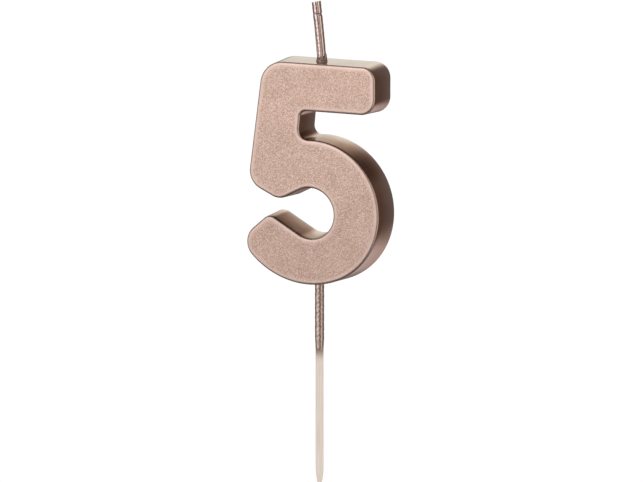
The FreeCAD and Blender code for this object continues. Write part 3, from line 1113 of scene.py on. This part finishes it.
@dataclass
class Pick:
    """The bamboo pick and the lacquer sprayed on its upper half; sizes in millimetres."""

    shank_radius: float = 1.25
    top_radius: float = 1.15
    film_radius: float = 1.42
    tip_radius: float = 0.3
    taper: float = 6.7
    around: int = 64
    point_steps: tuple[float, ...] = (0.0, 0.01, 0.04, 0.1, 0.2, 0.32, 0.45, 0.6, 0.75, 0.88,
                                      0.96, 1.0)
    point_power: float = 0.9
    blunt: float = 0.7
    seat_step: float = 5.0
    flats: tuple[Wave, ...] = (Wave(0.012, 5, 0.04), Wave(0.008, 11, 0.02, 1.3))
    edge_wander: float = 0.75
    edge_waves: tuple[Wave, ...] = (Wave(0.5, 2, 0, 0.4), Wave(0.4, 5, 0, 2.0))
    edge_share: float = 0.2
    edge_reach: float = 3.5
    ripples: tuple[Wave, ...] = (Wave(0.024, 2, 1.9), Wave(0.02, -3, 4.3), Wave(0.012, 5, 9.1))
    ripple_span: Span = (0.5, 4.0)
    clearance: float = 0.02
    inner_rows: int = 8
    film_wall: float = 0.4

    def rod(self) -> bpy.types.Object:
        """Build the wood: a round rod with faint lengthwise flats and a blunt whittled point.

        The radius is the shank's, eased to the tip's over the taper, and less by a
        few hundredths where a slow wave round the rod leaves a flat.
        """
        low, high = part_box("pick")
        bottom, top = low.z / MM, high.z / MM
        # the point, the bare shaft, and the part inside the numeral
        point = bottom + self.taper * np.array(self.point_steps)
        shaft = np.linspace(bottom + self.taper + 0.6, -0.02, 60)
        seat = np.append(np.arange(0, 5.5 * self.seat_step, self.seat_step), [top - 0.3, top])
        height = np.concatenate([point, shaft, seat])[:, None]
        share = np.clip((height - bottom) / self.taper, 0, 1)
        grown = np.sin(share * math.pi / 2) ** self.point_power
        narrowing = (self.shank_radius - self.top_radius) / top
        radius = self.tip_radius + (self.shank_radius - self.tip_radius) * grown - (
            narrowing * np.maximum(height, 0))
        radius[0] *= self.blunt
        flat = waves(self.flats, angles(self.around), height) + sum(
            part.size for part in self.flats)
        piece = capped("pick_rod", turned(radius - flat * share, height))
        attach(piece, Body.CANDLE.value)
        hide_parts("pick")
        return piece

    def film(self) -> bpy.types.Object:
        """Build the lacquer: a thin sleeve whose lower edge wanders and thins out.

        Its outer radius grows from the wood to the full film over a few
        millimetres, with low ripples where the lacquer ran; the inner wall stands
        a little inside the wood.
        """
        low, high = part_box("pick_lacquer")
        bottom, top = low.z / MM, high.z / MM
        angle = angles(self.around)
        edge = bottom + self.edge_wander * (waves(self.edge_waves, angle) + sum(
            part.size for part in self.edge_waves))
        # closer rows where the edge thins out
        share = np.concatenate([np.linspace(0, 0.2, 30), np.linspace(0.207, 1, 120)])[:, None]
        height = edge + (top - edge) * share
        run = height - edge
        grown = self.edge_share + (1 - self.edge_share) * smooth_step(run, 0, self.edge_reach)
        ripple = waves(self.ripples, angle, height) * smooth_step(run, *self.ripple_span)
        outer = (self.shank_radius + (self.film_radius - self.shank_radius) * grown + ripple
                 - self.clearance)
        inner = np.full((self.inner_rows, self.around), self.top_radius)
        inner_height = edge + (top - edge) * np.linspace(1, 0, len(inner))[:, None]
        rings = turned(np.vstack([outer, inner]), np.vstack([height, inner_height]))
        faces = grid_faces(len(rings), self.around, wrap_rows=True)
        piece = new_piece("pick_film", rings.reshape(-1, 3) * MM, faces)
        set_attributes(piece, wall=np.full(rings[..., 0].size, self.film_wall))
        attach(piece, Body.CANDLE.value)
        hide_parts("pick_lacquer")
        return piece


# ---------------------------------------------------------------- studio

@dataclass(frozen=True)
class Softbox:
    """One soft bright patch round the object; angles in degrees, bearing from +X towards +Y."""

    bearing: float
    half_width: float
    height: float
    half_height: float
    light: tuple[float, float, float]
    full_out: float = 0.4
    gone: float = 1.6

    def glow(self, graph: Graph, level: dict[str, bpy.types.NodeSocket]) -> bpy.types.NodeSocket:
        """Light from a direction.

        It is full out to two fifths of the half width and the half height, and eases
        to nothing at eight fifths of them.

        Args:
            graph: The world's nodes.
            level: The direction's level part as "X" and "Y", of length 1, and its
                elevation in radians as "up".

        Returns:
            A colour socket.
        """
        bearing = math.radians(self.bearing)
        facing = graph.weigh(level["X"], math.cos(bearing),
                             graph.math("MULTIPLY", level["Y"], math.sin(bearing)))
        aside = graph.math("ARCCOSINE", graph.math("MINIMUM", facing, 0.99999))
        width, tall = math.radians(self.half_width), math.radians(self.half_height)
        off = graph.math("ABSOLUTE", graph.math("SUBTRACT", level["up"], math.radians(self.height)))
        across, along = (graph.ramp(gap, self.full_out * half, self.gone * half, 1.0, 0.0)
                         for gap, half in ((aside, width), (off, tall)))
        amount = graph.math("MULTIPLY", across, along)
        glow = graph.add("VectorMath", {"operation": "SCALE"}, s0=self.light, Scale=amount)
        return glow.outputs[0]


@dataclass
class Studio:
    """White floor, white surroundings, and the soft boxes that the lacquer reflects."""

    fill: tuple[float, float, float] = (0.14, 0.108, 0.10)
    boxes: tuple[Softbox, ...] = (
        Softbox(-114, 34, 20, 40, (1.08, 1.08, 1.09)),
        Softbox(-13, 15, 0, 40, (0.85, 0.83, 0.82)),
        Softbox(20, 26, -10, 40, (0.10, 0.08, 0.07)),
        Softbox(118, 24, 20, 15, (0.75, 0.77, 0.71)),
        Softbox(97, 14, 30, 20, (0.17, 0.15, 0.13)),
        Softbox(88, 20, -34, 14, (0.44, 0.36, 0.34)),
    )
    floor_size: float = 60.0
    floor_gap: float = 0.0001

    def surround(self) -> None:
        """Make the world: even white light, and the soft boxes for glossy rays."""
        world = bpy.data.worlds.new("studio")
        world.use_nodes = True
        world.node_tree.nodes.clear()
        graph = Graph(world.node_tree)
        direction = graph.add("TexCoord").outputs["Generated"]
        parts = graph.add("SeparateXYZ", Vector=direction).outputs
        squared = graph.weigh(parts["X"], parts["X"],
                              graph.math("MULTIPLY", parts["Y"], parts["Y"]))
        ground = graph.math("SQRT", squared)
        safe = graph.math("MAXIMUM", ground, 1e-4)
        level = {"X": graph.math("DIVIDE", parts["X"], safe),
                 "Y": graph.math("DIVIDE", parts["Y"], safe),
                 "up": graph.math("ARCTAN2", parts["Z"], safe)}
        total = graph.add("CombineXYZ", X=self.fill[0], Y=self.fill[1], Z=self.fill[2]).outputs[0]
        for box in self.boxes:
            total = graph.add("VectorMath", {"operation": "ADD"}, s0=total,
                              s1=box.glow(graph, level)).outputs[0]
        glossy = graph.add("LightPath").outputs["Is Glossy Ray"]
        colour = graph.mix(glossy, (1.0, 1.0, 1.0, 1), total)
        background = graph.add("Background", Color=colour, Strength=1.0)
        graph.add("OutputWorld", Surface=background.outputs[0])
        bpy.context.scene.world = world

    def floor(self) -> bpy.types.Object:
        """Lay the white floor that the pick's point stands on."""
        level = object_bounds()[0][2] - self.floor_gap
        half = self.floor_size / 2
        corners = np.array([[x * half, y * half, level]
                            for x, y in ((-1, -1), (1, -1), (1, 1), (-1, 1))])
        floor = new_piece("floor", corners, [[0, 1, 2, 3]])
        material, graph, shader = start_material("white_floor")
        graph.feed(shader, Base_Color=(0.92, 0.92, 0.92, 1), Roughness=1.0, Specular_IOR_Level=0.0,
                   Emission_Color=(1.0, 1.0, 1.0, 1), Emission_Strength=0.12)
        dress(floor, material)
        floor.visible_glossy = False
        floor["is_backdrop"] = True
        return floor

    def build(self) -> None:
        """Set up the surroundings, the floor and the plain view transform."""
        self.surround()
        self.floor()
        bpy.context.scene.view_settings.view_transform = "Standard"


@dataclass(frozen=True)
class Viewpoint:
    """Where the camera stands; angles in degrees, lengths in metres."""

    azimuth: float = 25.65
    elevation: float = 10.34
    distance: float = 1.665
    aim: tuple[float, float, float] = (0.00065, 0.0, 0.0341)
    lens: float = 305.0

    def build(self) -> bpy.types.Object:
        """Create the camera, level and looking at its aim point."""
        turn, rise = math.radians(self.azimuth), math.radians(self.elevation)
        back = Vector((math.sin(turn) * math.cos(rise), -math.cos(turn) * math.cos(rise),
                       math.sin(rise)))
        data = bpy.data.cameras.new("camera")
        data.sensor_fit, data.sensor_width, data.lens = "HORIZONTAL", 36.0, self.lens
        camera = bpy.data.objects.new("camera", data)
        camera.location = Vector(self.aim) + back * self.distance
        camera.rotation_euler = back.to_track_quat("Z", "Y").to_euler()
        bpy.context.scene.collection.objects.link(camera)
        bpy.context.scene.camera = camera
        return camera


# ------------------------------------------------------------------ main


def main() -> None:
    """Load the frame, build and dress every piece, and set up the studio."""
    logging.basicConfig(level=logging.INFO, format="%(name)s: %(message)s")
    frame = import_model()
    effects = Effects.build()
    lacquer = RoseGoldLacquer("rose_gold_lacquer").build(effects)
    numeral = Numeral(NumeralOutline()).build()
    dress(numeral, lacquer)
    dress(frame["nodes"]["wax_numeral"],
          PlainWax("paraffin", (0.90, 0.82, 0.76, 1), (0.84, 0.74, 0.66, 1)).build(effects))
    wick = Wick()
    dress(wick.cord(), WaxedCord().build(effects))
    # seal wax: dark brown wax, deepened to near black as painted shadow of the wick's hole
    dress(wick.collar(), PlainWax("seal_wax", (0.36, 0.25, 0.20, 1), (0.07, 0.03, 0.02, 1),
                                  0.3, 0.7).build(effects))
    pick = Pick()
    dress(pick.rod(), BareBamboo().build(effects))
    dress(pick.film(), RoseGoldLacquer("sprayed_pick", flake_size=0.45, grain=1.0,
                                       face_roughness=0.36, wall_roughness=0.3).build(effects))
    dress(frame["nodes"]["pick_glue"],
          PlainWax("wax_glue", (0.80, 0.70, 0.60, 1), (0.70, 0.58, 0.48, 1)).build(effects))
    Studio().build()
    Viewpoint().build()
    LOG.info("scene built")


if __name__ == "__main__":
    main()
